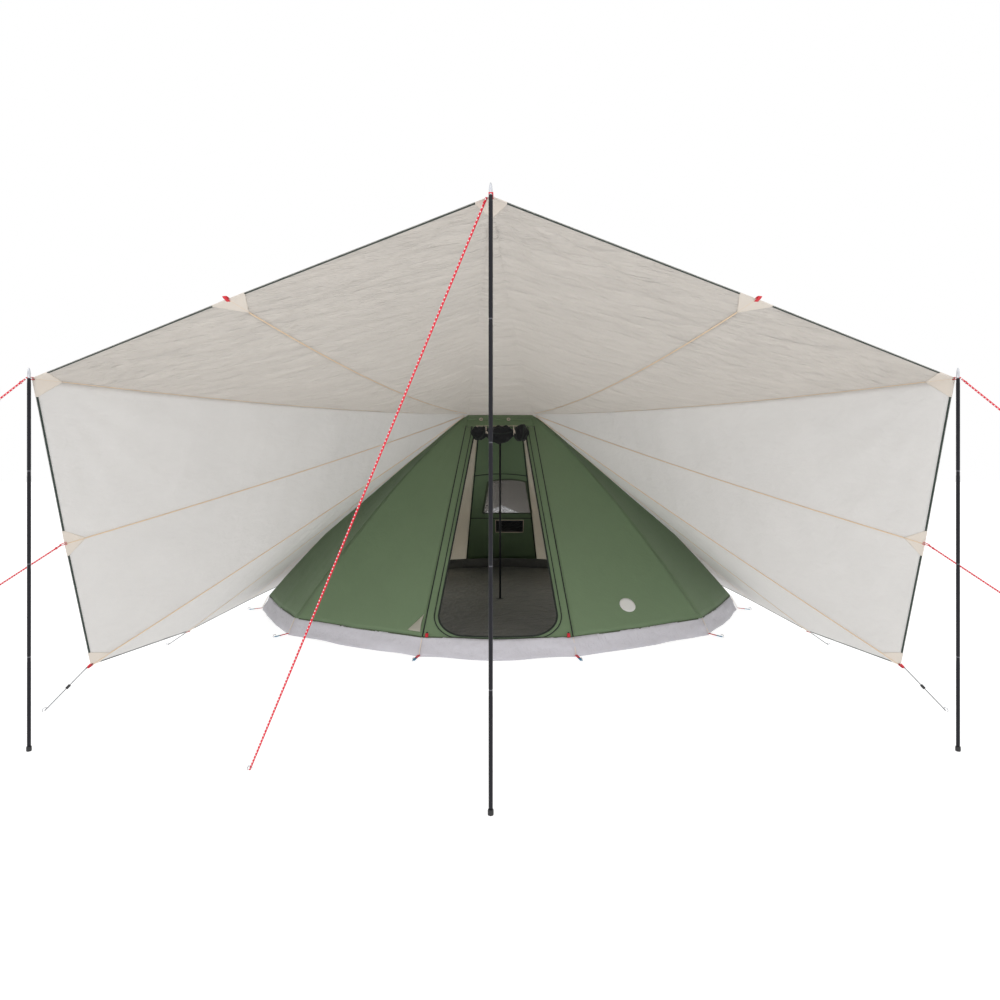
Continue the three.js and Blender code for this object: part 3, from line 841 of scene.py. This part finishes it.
tarp = {
    "frontMiddle": 0.52,  # share of the way from the front pole to the side pole
    "sideMiddle": 0.53,
    "corner": Vector((2.746, -3.757, 0.2445)),
    "second": Vector((2.80, -2.107, 0.10)),
    "third": Vector((2.86, -0.30, 0.06)),
    "fourth": Vector((2.80, 1.50, 0.06)),
    "fifth": Vector((2.10, 3.10, 0.05)),
    "rear": Vector((0, 3.50, 0.93)),
    "gap": 0.014,
    "blend": 0.02,  # how softly the tarp leaves the tent under it
    "poleClear": 0.016,
    "rows": 110,
    "fineRows": 240,  # on the front, where the folds show
}


def poleTop(node):
    low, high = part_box(node)
    return Vector(((low.x + high.x) / 2, (low.y + high.y) / 2, high.z))


frontTop = poleTop("front_pole")
sideTop = poleTop("right_pole")
tarpRidge = ridgeEnd + Vector((0, 0, tarp["gap"]))


def nearPole(p):
    inward = Vector((tarpRidge.x - p.x, tarpRidge.y - p.y, 0)).normalized()
    return p + inward * tarp["poleClear"]


apexCorner = nearPole(frontTop)
poleCorner = nearPole(sideTop)
frontMiddle = frontTop.lerp(sideTop, tarp["frontMiddle"])
sideMiddle = sideTop.lerp(tarp["corner"], tarp["sideMiddle"])
edgeRun = [  # each edge point with how much the seam that ends there sags
    (apexCorner, 0.05), (frontMiddle, 0.10), (poleCorner, 0.05), (sideMiddle, 0.035), (tarp["corner"], 0.03),
    (tarp["second"], 0.03), (tarp["third"], 0.0), (tarp["fourth"], 0.0), (tarp["fifth"], 0.02),
    (tarp["rear"], 0.06),
]


ripples = [  # how often across and along, share of the bend, seed and height
    (0.9, 5.5, 1, 2.0, 0.012),
    (1.6, 11, 1, 5.0, 0.006),
    (2.2, 24, 0.6, 7.0, 0.0045),
]


def crumple(p, s):
    # Ripples that run across the roof, warped so that none is straight
    bend = noise.noise(Vector((p.x * 0.7, p.y * 0.5, 1.0))) * 0.35
    ripple = 0
    for across, along, share, seed, height in ripples:
        ripple += noise.noise(Vector((p.x * across, (p.y + bend * share) * along, seed))) * height
    # Pulls that fan out from the poles
    side = math.copysign(1, p.x)
    corners = (frontTop, mirrored(sideTop, side))
    for place in corners:
        away = Vector((p.x - place.x, p.y - place.y, (p.z - place.z) * 0.8))
        far = away.length
        turn = math.atan2(away.z - away.x * 0.4, away.y + 0.001)
        pull = math.sin(turn * 24 + 2 * noise.noise(p * 1.2))
        ripple += pull * 0.013 * math.exp(-far / 0.9) * smoothStep(0.1, 0.45, far)
    # The sewn-on patches lie smooth
    for place in (*corners, mirrored(frontMiddle, side), mirrored(sideMiddle, side)):
        ripple *= smoothStep(0.12, 0.4, (p - place).length)
    return ripple * smoothStep(0, 0.08, s)


def tarpPoint(high, edge, s, sag):
    p = high.lerp(edge, s)
    line = p.z - sag * 4 * s * (1 - s)
    under = tentHeight(p.x, p.y) + tarp["gap"]
    lift = math.sqrt((line - under) ** 2 + tarp["blend"] ** 2)
    p.z = (line + under + lift) / 2 if abs(line - under) < 0.5 else max(line, under)
    return p


def tarpColumns(ends, rows):
    return [[tarpPoint(high, edge, j / rows, sag + slack * math.sin(math.pi * u)) for j in range(rows + 1)]
            for high, edge, u, sag, slack in ends]


def rumpled(columns, us, amount=1.0):
    made = []
    rows = len(columns[0])
    for i, column in enumerate(columns):
        left, right = columns[max(i - 1, 0)], columns[min(i + 1, len(columns) - 1)]
        held = smoothStep(0, 0.10, min(us[i], 1 - us[i]))
        line = []
        for j, p in enumerate(column):
            down = column[min(j + 1, rows - 1)] - column[max(j - 1, 0)]
            across = right[j] - left[j]
            normal = down.cross(across)
            if normal.length < 1e-9:
                line.append(p.copy())
                continue
            normal.normalize()
            s = j / (rows - 1)
            line.append(p + normal * crumple(p, s) * held * amount * smoothStep(1, 0.97, s))
        made.append(line)
    return made


def fan(first, last, count, slack):
    (a, sagA), (b, sagB) = edgeRun[first], edgeRun[last]
    return [(tarpRidge, a.lerp(b, t), t, between(sagA, sagB, t), slack)
            for t in (i / count for i in range(count + 1))]


def tarpPiece(name, runs, node, amount=1.0, centre=False):
    rows = tarp["fineRows" if amount == 1.0 else "rows"]
    for side, sign in (("", 1),) if centre else sides:
        columns, us = [], []
        for ends in runs:
            part = tarpColumns(ends, rows)
            columns += part if not columns else part[1:]
            us += [e[2] for e in ends] if not us else [e[2] for e in ends][1:]
        columns = rumpled(columns, us, amount)
        columns = [[mirrored(p, sign) for p in column] for column in columns]
        piece = clothPiece(name + side.capitalize(), columns)
        # The wings and sides get the lighter painted copy of the one tarp cloth, the rest the darker
        # painted-shade copy
        material = "tarpWing" if name in ("tarpWing", "tarpSide") else "tarp"
        finishPiece(piece, material, "tarp", node if centre else node + "_" + side)
        wide = sum((a[-1] - b[-1]).length for a, b in zip(columns, columns[1:]))
        tall = max(sum((p - q).length for p, q in zip(c, c[1:])) for c in columns)
        for a, b in zip(columns, columns[1:]):
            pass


def centreEnds(apex, sag, count=24):
    return [(Vector((between(-tarpRidge.x, tarpRidge.x, t), 0, tarpRidge.z)), apex, t, sag, 0.015)
            for t in (i / count for i in range(count + 1))]


def mirrorEnds(ends):
    return [(mirrored(h, -1), mirrored(e, -1), u, sag, slack) for h, e, u, sag, slack in reversed(ends)]


def makeTarp():
    front = fan(0, 1, 34, 0.02)
    runs = [mirrorEnds(front), centreEnds(apexCorner, 0.05), front]
    tarpPiece("tarpFront", runs, "tarp_front", centre=True)
    rear = fan(9, 8, 36, 0.02) + fan(8, 7, 30, 0.01)[1:]
    runs = [mirrorEnds(rear), centreEnds(tarp["rear"], 0.06), rear]
    tarpPiece("tarpRear", runs, "tarp_rear", 0.6, centre=True)
    tarpPiece("tarpRoof", [fan(1, 2, 34, 0.03)], "tarp_roof")
    tarpPiece("tarpWing", [fan(2, 3, 24, 0.012), fan(3, 4, 22, 0.012), fan(4, 5, 34, 0.02)], "tarp_wing", 0.7)
    tarpPiece("tarpSide", [fan(5, 6, 34, 0.01), fan(6, 7, 34, 0.0)], "tarp_side", 0.5)
    print("tarp spread")


def makeTarpTrim():
    seams = ("FrontMiddle", "Pole", "SideMiddle", "Corner", "Second", "Third", "Fourth", "Fifth")
    for side, sign in sides:
        for k, label in enumerate(seams, 1):
            edge, sag = edgeRun[k]
            line = [mirrored(tarpPoint(tarpRidge, edge, between(0.02, 0.998, j / 90), sag), sign)
                    for j in range(91)]
            # The seams of the steep side wings face inwards
            facing = mirrored(Vector((-0.75, -0.2, 1)) if k in (3, 4) else Vector((0, 0, 1)), sign)
            normals = []
            for i in range(91):
                ahead = (line[min(i + 1, 90)] - line[max(i - 1, 0)]).normalized()
                normals.append((facing - ahead * facing.dot(ahead)).normalized())
            piece = ribbon("tarpSeam" + label + side.capitalize(), line, normals, 0.012, 0.004)
            finishPiece(piece, "tarpTape", "tarp")
    makeBinding()
    makePatches()
    print("tarp trimmed")


def makeBinding():
    for side, sign in sides:
        for k in range(len(edgeRun) - 1):
            a, b = edgeRun[k][0], edgeRun[k + 1][0]
            normal = (b - a).cross(tarpRidge - a).normalized()
            inward = normal.cross(b - a).normalized()
            if inward.dot(tarpRidge - a) < 0:
                inward = -inward
            line = [mirrored(a.lerp(b, i / 40) + inward * 0.008, sign) for i in range(41)]
            normals = [mirrored(normal, sign)] * 41
            piece = ribbon(f"tarpBinding{side.capitalize()}{k + 1}", line, normals, 0.011, 0.006)
            finishPiece(piece, "binding", "tarp")


def makePatches():
    # The edge point each one covers, half its width and its depth
    spots = {"FrontMiddle": (1, 0.10, 0.20), "Pole": (2, 0.11, 0.17), "SideMiddle": (3, 0.09, 0.13),
             "Corner": (4, 0.10, 0.14), "Second": (5, 0.09, 0.13), "Fourth": (7, 0.10, 0.14),
             "Fifth": (8, 0.10, 0.14)}
    for side, sign in sides:
        for label, (k, half, deep) in spots.items():
            here, sag = edgeRun[k]
            columns = []
            for i in range(-10, 11):
                t = i / 10
                other = edgeRun[k + (1 if t > 0 else -1)][0]
                edge = here + (other - here).normalized() * abs(t) * half
                depth = deep * (1 - abs(t)) + 0.01
                reach = (edge - tarpRidge).length
                columns.append([mirrored(tarpPoint(tarpRidge, edge, 1 - depth * j / 8 / reach, sag), sign)
                                for j in range(9)])
            piece = clothPiece("tarpPatch" + label + side.capitalize(), columns, 0.006)
            finishPiece(piece, "tarpPatch", "tarp")
    columns = []
    for i in range(-8, 9):
        t = i / 8
        along = (mirrored(frontMiddle, 1 if t > 0 else -1) - apexCorner).normalized()
        edge = apexCorner + along * abs(t) * 0.08
        depth = 0.2 * (1 - abs(t)) + 0.01
        high = Vector((tarpRidge.x * t, 0, tarpRidge.z))
        reach = (edge - high).length
        columns.append([tarpPoint(high, edge, 1 - depth * j / 8 / reach, 0.05) for j in range(9)])
    finishPiece(clothPiece("tarpPatchApex", columns, 0.006), "tarpPatch", "tarp")


# ---- poles ----

def turnedPiece(name, profile, place, segments=28):
    start, low = profile[0]
    bpy.ops.mesh.primitive_circle_add(vertices=segments, radius=start or 0.0001, location=(0, 0, low))
    piece = bpy.context.object
    piece.name = name
    bpy.ops.object.mode_set(mode="EDIT")
    bpy.ops.mesh.select_all(action="SELECT")
    bpy.ops.mesh.edge_face_add()
    last = profile[0]
    for r, z in profile[1:]:
        bpy.ops.mesh.extrude_region_move(TRANSFORM_OT_translate={"value": (0, 0, z - last[1])})
        scale = max(r, 0.0001) / max(last[0], 0.0001)
        bpy.ops.transform.resize(value=(scale, scale, 1))
        last = (r, z)
    bpy.ops.mesh.select_all(action="SELECT")
    bpy.ops.mesh.normals_make_consistent(inside=False)
    bpy.ops.object.mode_set(mode="OBJECT")
    placed(piece, Matrix.Translation(place))
    bpy.ops.object.shade_smooth_by_angle(angle=math.radians(35))
    return piece


def makePoles():
    for name, sections in (("front", 5), ("left", 4), ("right", 4)):
        low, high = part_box(name + "_pole")
        base = Vector(((low.x + high.x) / 2, (low.y + high.y) / 2, 0))
        step = (high.z - low.z) / sections
        for k in range(sections):
            bottom, top = low.z + k * step, low.z + (k + 1) * step
            r = 0.010
            profile = [(r * 0.86, bottom + 0.0015), (r, bottom + 0.004), (r, top - 0.03),
                       (r * 0.95, top - 0.024), (r * 0.95, top - 0.004), (r * 0.86, top - 0.0015)]
            section = turnedPiece(f"{name}PoleSection{k + 1}", profile, base)
            finishPiece(section, "pole", "pole", *([name + "_pole"] if k == 0 else []))
            if k < sections - 1:
                profile = [(r * 0.8, top - 0.004), (r * 0.9, top - 0.002), (r * 0.9, top + 0.002),
                           (r * 0.8, top + 0.004)]
                finishPiece(turnedPiece(f"{name}PoleJoint{k + 1}", profile, base), "ferrule", "pole_tip")
        low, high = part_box(name + "_pole_foot")
        wide, tall = (high.x - low.x) / 2, high.z - low.z
        profile = [(wide * 0.86, 0.0), (wide, 0.003), (wide, tall * 0.8), (wide * 0.92, tall),
                   (wide * 0.74, tall)]
        cap = turnedPiece(name + "PoleCap", profile, base)
        finishPiece(cap, "plastic", "black_plastic", name + "_pole_foot")
        low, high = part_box(name + "_pole_tip")
        z, tall = low.z, high.z - low.z
        profile = [(0.0095, z), (0.0095, z + 0.006), (0.0085, z + 0.008), (0.0085, z + tall * 0.45),
                   (0.0070, z + tall * 0.7), (0.0045, z + tall * 0.9), (0.0015, z + tall)]
        point = turnedPiece(name + "PoleTip", profile, base)
        finishPiece(point, "tip", "pole_tip", name + "_pole_tip")
    for node, material in (("centre_pole_foot", "plastic"), ("centre_pole_lower", "pole"),
                           ("centre_pole_upper", "pole"), ("ridge_fitting", "plastic")):
        low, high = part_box(node)
        r = (high.x - low.x) / 2
        if node == "centre_pole_foot":
            profile = [(r * 0.97, low.z), (r, low.z + 0.001), (r, low.z + 0.002), (r * 0.9, low.z + 0.0035),
                       (0.024, high.z - 0.002), (0.022, high.z)]
        else:
            profile = [(r * 0.9, low.z), (r, low.z + 0.003), (r, high.z - 0.003), (r * 0.9, high.z)]
        slot = "black_plastic" if material == "plastic" else "pole"
        finishPiece(turnedPiece(pieceName(node), profile, Vector((0, 0, 0))), material, slot, node)
    low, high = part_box("ridge_bar")
    line = [Vector((between(low.x, high.x, i / 20), 0, (low.z + high.z) / 2)) for i in range(21)]
    finishPiece(tube("ridgeBar", line, (high.z - low.z) / 2, 20), "pole", "pole", "ridge_bar")
    print("poles stand")


# ---- ropes, loops and pegs ----

ropes = {  # which way it runs out in x and y, its radius and its material
    "apex_rope": (-1, 1, 0.004, "checkRope"),
    "pole_rope": (1, -1, 0.0035, "checkRope"),
    "middle_rope": (1, -1, 0.0035, "redRope"),
    "corner_rope": (1, -1, 0.0025, "greyRope"),
    "second_rope": (1, -1, 0.0025, "greyRope"),
}


braid = 1.35  # how much thicker the loose braid is than its core


def ropeEnds(node, outX, outY, radius):
    low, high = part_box(node)
    x0, x1 = (low.x, high.x) if outX > 0 else (high.x, low.x)
    y0, y1 = (low.y, high.y) if outY > 0 else (high.y, low.y)
    top, peg = Vector((x0, y0, high.z)), Vector((x1, y1, low.z))
    run = (peg - top).normalized()
    inset = Vector([math.copysign(radius * math.sqrt(1 - d * d), d) if abs(d) > 0.001 else 0 for d in run])
    return top + inset, peg - inset


def makeKnot(name, place, radius, material):
    turned = Matrix.Translation(place) @ Matrix.Rotation(math.radians(70), 4, "Y")
    return finishPiece(torus(name, radius * 1.5, radius, 20, 10, turned), material, "rope")


def makePeg(name, place, away):
    lean = away.normalized()
    hook = ((0.012, -0.004), (0.014, 0.012), (0.008, 0.022), (-0.006, 0.023), (-0.016, 0.014))
    line = [place + lean * out + Vector((0, 0, up)) for out, up in hook]
    line = [Vector((p.x, p.y, max(0.004, p.z))) for p in line]
    return finishPiece(tube(name, line, 0.0028, 8), "tip", "pole_tip")


def makeRopes():
    for label, (outX, outY, radius, material) in ropes.items():
        pairs = [(label + "_" + side, sign * outX) for side, sign in sides]
        for node, ox in [(label, outX)] if label == "apex_rope" else pairs:
            top, peg = ropeEnds(node, ox, outY, radius)
            count = max(16, int((peg - top).length / 0.08))
            line = [top.lerp(peg, i / count) for i in range(count + 1)]
            name = pieceName(node)
            piece = tube(name, line, radius * braid, 10)
            finishPiece(piece, material, "rope", node)
            if label in ("pole_rope", "middle_rope"):
                ending = makeKnot(name + "End", peg, radius, material)
            else:
                away = Vector((peg.x - top.x, peg.y - top.y, 0))
                ending = makePeg(name + "Peg", Vector((peg.x, peg.y, 0.004)), away)
            tied = 0.010 if label == "corner_rope" else 0.03
            knot = makeKnot(name + "Knot", top.lerp(peg, tied / (peg - top).length), radius, material)
            [tuple(p) for p in line]
    for side, sign in sides:
        paintBlack("rope_runner_" + side)
    print("ropes tied")


def makeTabs():
    pulled = (  # the edge points with a tab, and which way each is pulled
        ("FrontMiddle", frontMiddle, Vector((0.3, -1, 0.4))), ("Pole", poleCorner, Vector((1, -0.9, 0.1))),
        ("SideMiddle", sideMiddle, Vector((1, -1, -0.4))),
        ("Corner", tarp["corner"], Vector((0.5, -0.8, -0.6))),
        ("Second", tarp["second"], Vector((0.8, -0.8, -0.3))),
    )
    spots = [("Apex", apexCorner, Vector((0, -1, 0.3)))]
    for side, sign in sides:
        spots += [(label + side.capitalize(), mirrored(p, sign), mirrored(out, sign))
                  for label, p, out in pulled]
    for label, p, out in spots:
        out = out.normalized()
        flat = out.cross(Vector((0, 0, 1))).normalized()
        normal = flat.cross(out).normalized()
        line = []
        for i in range(17):
            a = i / 16
            reach = 0.040 * math.sin(math.pi * a)
            line.append(p + out * (reach - 0.012) + normal * 0.006 * math.cos(math.pi * a))
        normals = [normal * math.cos(math.pi * i / 16) + out * math.sin(math.pi * i / 16) for i in range(17)]
        piece = ribbon("webTab" + label, line, normals, 0.022, 0.0018)
        finishPiece(piece, "webbing", "webbing")
    # Peg loops at the tent's corners: red webbing with a blue end, held by a peg, and a cord down the skirt
    for n, degrees in enumerate([-a for a in reversed(tent["angles"])] + tent["angles"]):
        corner = onRing(degrees, tentRadius + 0.004, 0.018)
        out = Vector((corner.x, corner.y, 0)).normalized()
        for label, start, stop, colour in (("Red", 0.0, 0.085, "webbing"),
                                           ("Blue", 0.07, 0.135, "blueWebbing")):
            reaches = [between(start, stop, i / 6) for i in range(7)]
            line = [corner + out * reach - Vector((0, 0, 0.011 * reach / 0.135)) for reach in reaches]
            piece = ribbon(f"pegLoop{label}{n + 1}", line, [Vector((0, 0, 1))] * 7, 0.025, 0.003)
            finishPiece(piece, colour, "webbing")
        makePeg(f"cornerPeg{n + 1}", corner + out * 0.135 + Vector((0, 0, -0.013)), out)
        high = onRing(degrees, tentRadius - tent["skirtLean"] + 0.006, tent["skirtHigh"])
        cord = [high.lerp(corner, i / 6) for i in range(7)]
        finishPiece(tube(f"cornerCord{n + 1}", cord, 0.003, 6), "creamCord", "webbing")
    for side, sign in sides:
        paintBlack("zip_slider_" + side)
        low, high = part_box("zip_slider_" + side)
        centre = (low + high) / 2
        line = [centre + frontSlope.out * 0.008 - frontSlope.up * (0.006 + 0.04 * i / 6) for i in range(7)]
        pull = ribbon("zipPull" + side.capitalize(), line, [frontSlope.out] * 7, 0.026, 0.004)
        finishPiece(pull, "webbing", "webbing", rides="zip_slider_" + side)
    print("loops and pulls sewn")


def makePatchesOnTent():
    # Cream cable flap beside the door, on the first left wall
    out = Vector((0.45, -0.75, 0.6)).normalized()

    def flapPoint(t, w):
        p = wallPoint(0, between(0.02, 0.11, t), between(0.985, 0.985 - 0.056 * (1 - t) - 0.002, w))
        return mirrored(p + out * (0.004 + 0.012 * math.sin(math.pi * w) * (1 - t)), -1)

    finishPiece(clothPiece("cableFlap", grid(8, 6, flapPoint)), "cream", "tent_cream")
    # Plain round badge on the first right wall
    badge = {"u": 0.47, "s": 0.925, "radius": 0.075, "wide": 1.25, "tall": 3.3}

    def badgePoint(turn, share):
        a, r = 2 * math.pi * turn, badge["radius"] * share
        return wallSurface(0, badge["u"] + r * math.cos(a) / badge["wide"],
                           badge["s"] + r * math.sin(a) / badge["tall"], 1, 0.003)

    piece = clothPiece("plainBadge", grid(36, 4, badgePoint)[:-1], 0.0015, closed=True)
    finishPiece(piece, "badge", "tent_cream")


makeFloor()
makeSkirt()
makeWalls()
makeWallSeams()
makeDoorPanel()
makeDoorRoll()
makeRearPanel()
makeTarp()
makeTarpTrim()
makePoles()
makeRopes()
makeTabs()
makePatchesOnTent()


# ---- floor and light ----

def makeStage():
    bpy.ops.mesh.primitive_plane_add(size=120, location=(0, 0, -0.001))
    ground = bpy.context.object
    ground.name = "studioFloor"
    # White paper that glows enough to stay white under the tarp
    paper = bpy.data.materials.new("studioPaper")
    paper.use_nodes = True
    shader = paper.node_tree.nodes["Principled BSDF"]
    glow = {"Base Color": (0.3, 0.3, 0.3, 1), "Roughness": 0.9, "Emission Color": (1, 1, 1, 1),
            "Emission Strength": 0.85}
    for label, value in glow.items():
        shader.inputs[label].default_value = value
    ground.data.materials.append(paper)
    world = bpy.data.worlds.new("softbox")
    world.use_nodes = True
    world.node_tree.nodes["Background"].inputs["Color"].default_value = (1, 1, 1, 1)
    world.node_tree.nodes["Background"].inputs["Strength"].default_value = 1.0
    bpy.context.scene.world = world
    lamps = {
        "keyLight": ((-6, -12, 9), (55, 0, -27), 8, 320),
        "fillLight": ((8, -10, 7), (60, 0, 40), 8, 180),
    }
    for name, (place, turn, size, power) in lamps.items():
        bpy.ops.object.light_add(type="AREA", location=place, rotation=[math.radians(a) for a in turn])
        lamp = bpy.context.object
        lamp.name = name
        lamp.data.size = size
        lamp.data.energy = power
        lamp.visible_camera = False
    # Two soft lamps on either side inside the tent, out of sight from the door
    for side, sign in sides:
        bpy.ops.object.light_add(type="POINT", location=(sign * 0.95, 0.35, 0.95))
        lamp = bpy.context.object
        lamp.name = "insideLamp" + side.capitalize()
        lamp.data.shadow_soft_size = 0.35
        lamp.data.energy = 8
        lamp.visible_camera = False


makeStage()
bpy.context.scene.view_settings.view_transform = "Standard"
